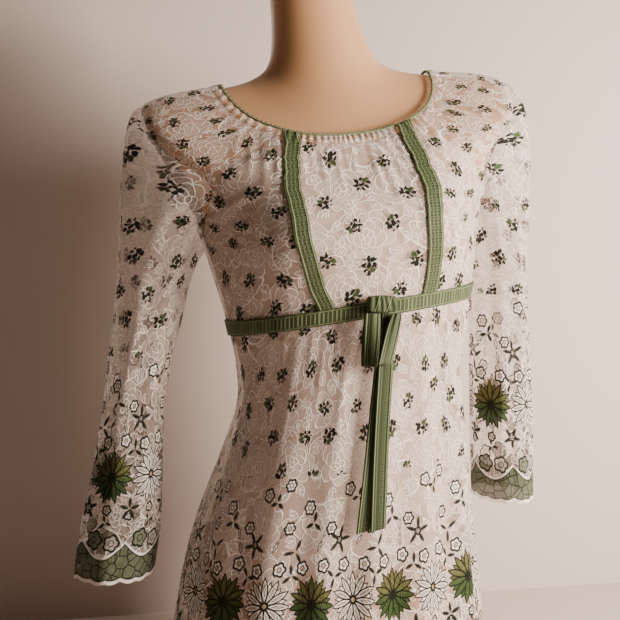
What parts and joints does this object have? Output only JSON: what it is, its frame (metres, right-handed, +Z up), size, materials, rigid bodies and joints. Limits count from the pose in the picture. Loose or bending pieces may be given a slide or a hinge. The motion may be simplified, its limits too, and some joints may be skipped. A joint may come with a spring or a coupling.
{
  "type": "lace blouse on dress form",
  "caption": "Sheer floral lace empire-waist blouse with wide gathered neckline, ribbon trims, bow and bordered sleeves, worn by a limbless dress form that stands on a flat base",
  "frame": {"origin": "middle of the flat underside of the dress form, where it stands", "axes": "+Z up, the front of the blouse faces -Y, the wearer's left is +X"},
  "size_m": [0.5121, 0.2948, 0.8143],
  "materials": {
    "form": "smooth flesh-coloured moulded plastic",
    "plate": "dark satin plate",
    "lining": "smooth pinkish ivory lining",
    "lace": "fine ivory stretch lace with raised flower outlines and printed sprigs",
    "ribbon": "woven olive green ribbon with pale edge lines",
    "edging": "narrow dark green crochet edging"
  },
  "bodies": {
    "root": {"dress_form": "form", "arm_plate_right": "plate", "arm_plate_left": "plate", "lining_front": "lining", "lining_back": "lining", "bodice_front": "lace", "bodice_back": "lace", "skirt_front": "lace", "skirt_back": "lace", "sleeve_right": "lace", "sleeve_left": "lace", "neck_casing": "lace", "neck_edging": "edging", "trim_right": "ribbon", "trim_left": "ribbon", "waist_trim": "ribbon", "bow_knot": "ribbon", "bow_loop_right": "ribbon", "bow_loop_left": "ribbon", "bow_tail_right": "ribbon", "bow_tail_left": "ribbon"}
  },
  "joints": []
}
